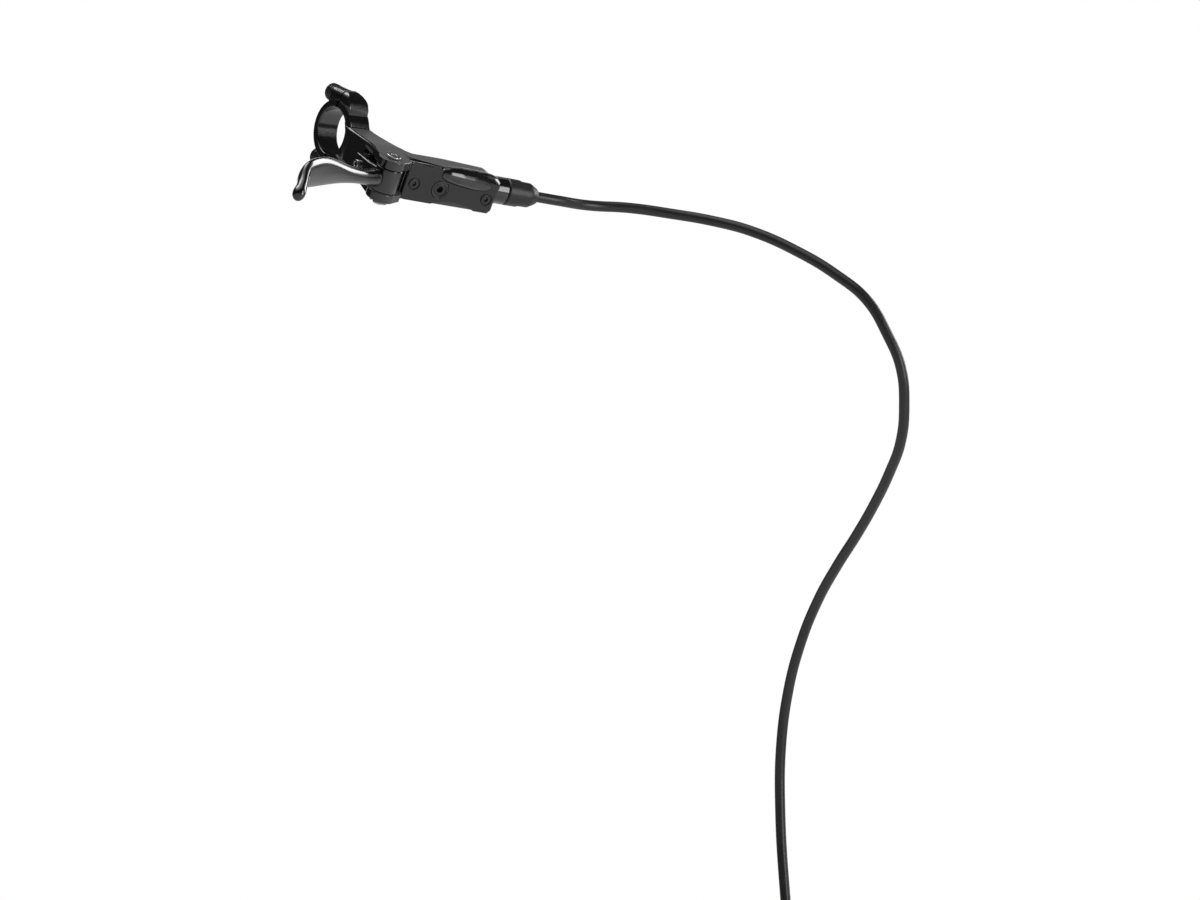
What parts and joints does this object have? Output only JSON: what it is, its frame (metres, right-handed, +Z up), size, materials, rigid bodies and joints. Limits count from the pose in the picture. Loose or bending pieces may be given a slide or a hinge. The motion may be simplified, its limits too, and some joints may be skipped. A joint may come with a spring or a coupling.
{
  "type": "hydraulic disc brake",
  "caption": "Hydraulic disc brake for a bicycle's front wheel: bar-clamped lever with master cylinder, long curved hose, post-mount caliper with pads, and slotted disc rotor.",
  "frame": {"origin": "centre of the bar clamp, on the handlebar's axis", "axes": "+X along the handlebar, outwards to the grip's end; +Y forwards, the way the bicycle rides; +Z up. The caliper and the rotor lie where a front wheel holds them, below and forward of the lever."},
  "size_m": [0.3469, 0.2502, 0.7035],
  "materials": {
    "gloss_black_paint": "deep gloss black enamel on forged aluminium",
    "satin_black_anodised": "satin black, finely matt",
    "black_steel": "black oxide on steel screws",
    "steel": "bright machined steel",
    "rotor_steel": "brushed stainless steel",
    "bright_aluminium": "turned aluminium",
    "brass": "plain brass",
    "black_rubber": "matt black rubber",
    "hose_black": "satin black hose jacket",
    "spring_steel": "bright spring steel",
    "piston_resin": "dark moulded resin",
    "plate_steel": "dull copper-grey steel backing plate",
    "lining": "coarse brown-grey friction compound"
  },
  "bodies": {
    "assembly": {"lever_body": "gloss_black_paint", "clamp_band": "gloss_black_paint", "clamp_bolts": "black_steel", "reservoir_cover": "satin_black_anodised", "diaphragm": "black_rubber", "cover_screws": "black_steel", "bleed_screw": "black_steel", "pivot_pin": "steel", "pivot_clip": "spring_steel", "piston_circlip": "spring_steel", "lever_hose_nut": "black_steel", "lever_olive": "brass", "lever_hose_insert": "brass", "lever_hose_boot": "black_rubber", "brake_hose": "hose_black", "caliper_hose_boot": "black_rubber", "caliper_hose_nut": "black_steel", "caliper_olive": "brass", "caliper_hose_insert": "brass", "caliper_outer_half": "gloss_black_paint", "caliper_inner_half": "gloss_black_paint", "caliper_body_bolts": "black_steel", "transfer_o_ring": "black_rubber", "piston_seals": "black_rubber", "pad_spring": "spring_steel", "pad_pin": "steel", "pad_pin_clip": "spring_steel", "bleed_nipple": "steel", "bleed_cap": "black_rubber", "fork_bolts": "black_steel", "fork_washers": "steel", "return_spring": "spring_steel"},
    "lever": {"lever_blade": "gloss_black_paint", "pivot_bushes": "brass"},
    "reach_adjuster": {"reach_screw": "steel"},
    "piston": {"master_piston": "bright_aluminium", "primary_seal": "black_rubber", "secondary_seal": "black_rubber", "push_rod": "steel"},
    "outer_pad": {"outer_piston": "piston_resin", "outer_pad_plate": "plate_steel", "outer_pad_lining": "lining"},
    "inner_pad": {"inner_piston": "piston_resin", "inner_pad_plate": "plate_steel", "inner_pad_lining": "lining"},
    "rotor": {"disc_rotor": "rotor_steel"}
  },
  "joints": [
    {"name": "lever_pivot", "type": "hinge", "parent": "assembly", "child": "lever", "pos_m": [0.0055, 0.0446, -0.02575], "axis": [0, -0.5, -0.866], "range_deg": [0, 20], "stiffness_Nm_per_rad": 0.6, "springref_deg": -20.05},
    {"name": "reach_screw_turn", "type": "hinge", "parent": "lever", "child": "reach_adjuster", "pos_m": [0.00597, 0.03292, -0.01901], "axis": [0.9994, 0.0302, -0.0174], "range_deg": [-360, 360]},
    {"name": "master_stroke", "type": "slide", "parent": "assembly", "child": "piston", "axis": [-0.9903, 0.1205, -0.0696], "range_m": [0, 0.00489], "deforming": ["return_spring"]},
    {"name": "outer_piston_stroke", "type": "slide", "parent": "assembly", "child": "outer_pad", "axis": [1, 0, 0], "range_m": [0, 0.0005], "deforming": ["pad_spring"]},
    {"name": "inner_piston_stroke", "type": "slide", "parent": "assembly", "child": "inner_pad", "axis": [-1, 0, 0], "range_m": [0, 0.0005], "deforming": ["pad_spring"]},
    {"name": "rotor_spin", "type": "hinge", "parent": "assembly", "child": "rotor", "pos_m": [-0.24, 0.15, -0.6], "axis": [1, 0, 0], "continuous": true}
  ],
  "couplings": [
    {"joint": "master_stroke", "follows": "lever_pivot", "m_per_rad": 0.013423},
    {"joint": "outer_piston_stroke", "follows": "lever_pivot", "m_per_rad": 0.001387},
    {"joint": "inner_piston_stroke", "follows": "lever_pivot", "m_per_rad": 0.001387}
  ]
}
